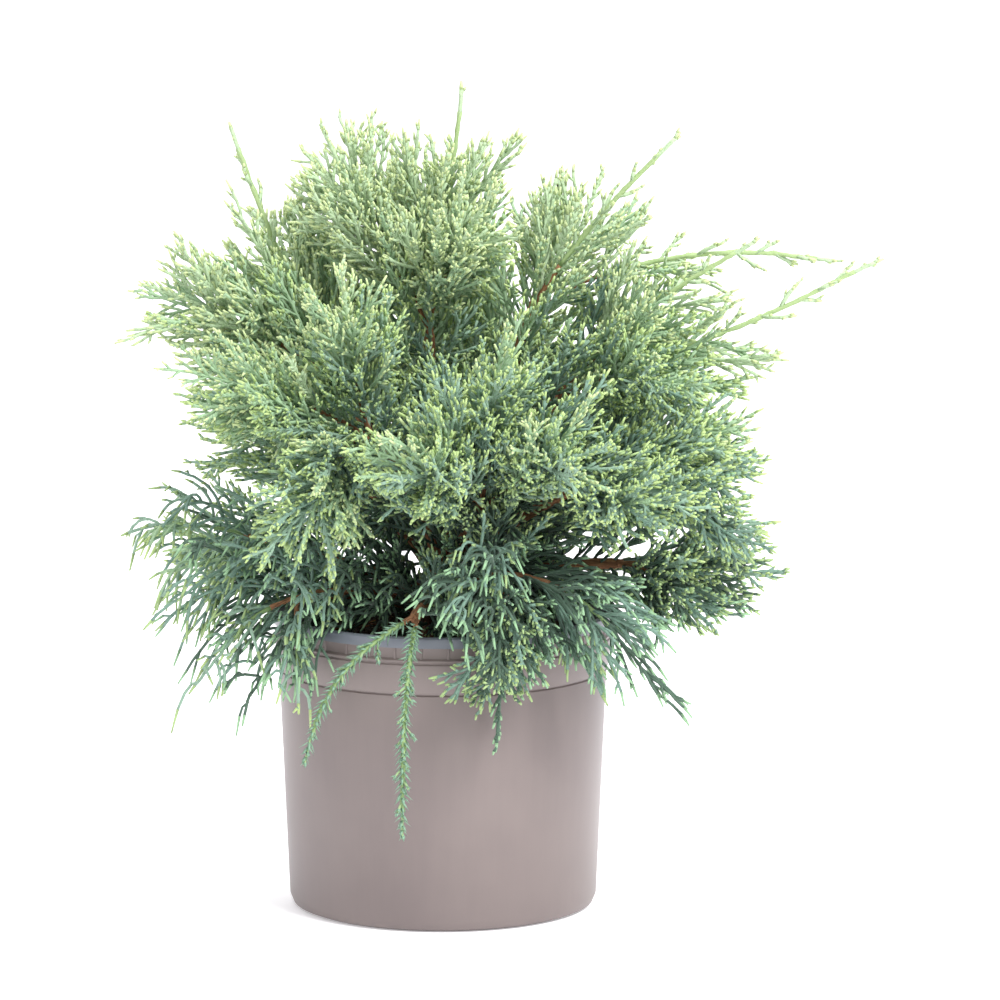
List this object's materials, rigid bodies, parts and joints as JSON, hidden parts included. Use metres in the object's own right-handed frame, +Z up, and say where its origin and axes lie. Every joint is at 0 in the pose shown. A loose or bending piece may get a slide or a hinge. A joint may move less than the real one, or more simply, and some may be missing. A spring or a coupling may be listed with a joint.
{
  "type": "potted blue pfitzer juniper",
  "caption": "Low spreading evergreen shrub with arching boughs and feathery sprays of scale leaves, in a round plastic nursery pot filled with soil",
  "frame": {"origin": "centre of the pot's flat underside", "axes": "+Z up along the pot's axis, +X to the plant's right seen from its front, -Y towards its front"},
  "size_m": [0.2685, 0.2313, 0.2884],
  "materials": {
    "pot": "taupe polypropylene, satin, with a smooth greyish rim",
    "soil": "moist dark peat, rough and crumbly",
    "bark": "thin reddish brown bark that flakes lengthwise, matt",
    "foliage": "blue-green scale leaves with yellow-green tips, matt and slightly waxy"
  },
  "bodies": {
    "root": {"pot": "pot", "soil": "soil", "stem": "bark", "bough_right_low": "bark", "bough_right_mid": "bark", "bough_right_top": "bark", "bough_crown_right": "bark", "bough_front": "bark", "bough_front_low": "bark", "bough_front_left": "bark", "bough_crown": "bark", "bough_left_high": "bark", "bough_left_low": "bark", "bough_left_droop": "bark", "bough_back_left": "bark", "bough_back": "bark", "bough_back_right": "bark", "bough_hang": "bark", "mass_right_low_outer": "foliage", "mass_right_low_front": "foliage", "mass_right_mid_outer": "foliage", "mass_right_mid_leader": "foliage", "mass_right_mid_front": "foliage", "mass_right_top_leader": "foliage", "mass_right_top_outer": "foliage", "mass_right_top_front": "foliage", "mass_crown_right_leader": "foliage", "mass_crown_right_up": "foliage", "mass_crown_right_back": "foliage", "mass_front_right": "foliage", "mass_front_left": "foliage", "mass_front_up": "foliage", "mass_front_low_right": "foliage", "mass_front_low_left": "foliage", "mass_front_low_hang": "foliage", "mass_front_left_leader": "foliage", "mass_front_left_up": "foliage", "mass_front_left_front": "foliage", "mass_crown_leader": "foliage", "mass_crown_left": "foliage", "mass_crown_front": "foliage", "mass_left_high_leader": "foliage", "mass_left_high_outer": "foliage", "mass_left_high_back": "foliage", "mass_left_low_outer": "foliage", "mass_left_low_front": "foliage", "mass_left_low_back": "foliage", "mass_left_droop_outer": "foliage", "mass_left_droop_inner": "foliage", "mass_back_left_outer": "foliage", "mass_back_left_up": "foliage", "mass_back_left_low": "foliage", "mass_back_leader": "foliage", "mass_back_up": "foliage", "mass_back_right": "foliage", "mass_back_right_outer": "foliage", "mass_back_right_rear": "foliage", "mass_back_right_up": "foliage", "mass_hang_left": "foliage", "mass_hang_front": "foliage"}
  },
  "joints": []
}
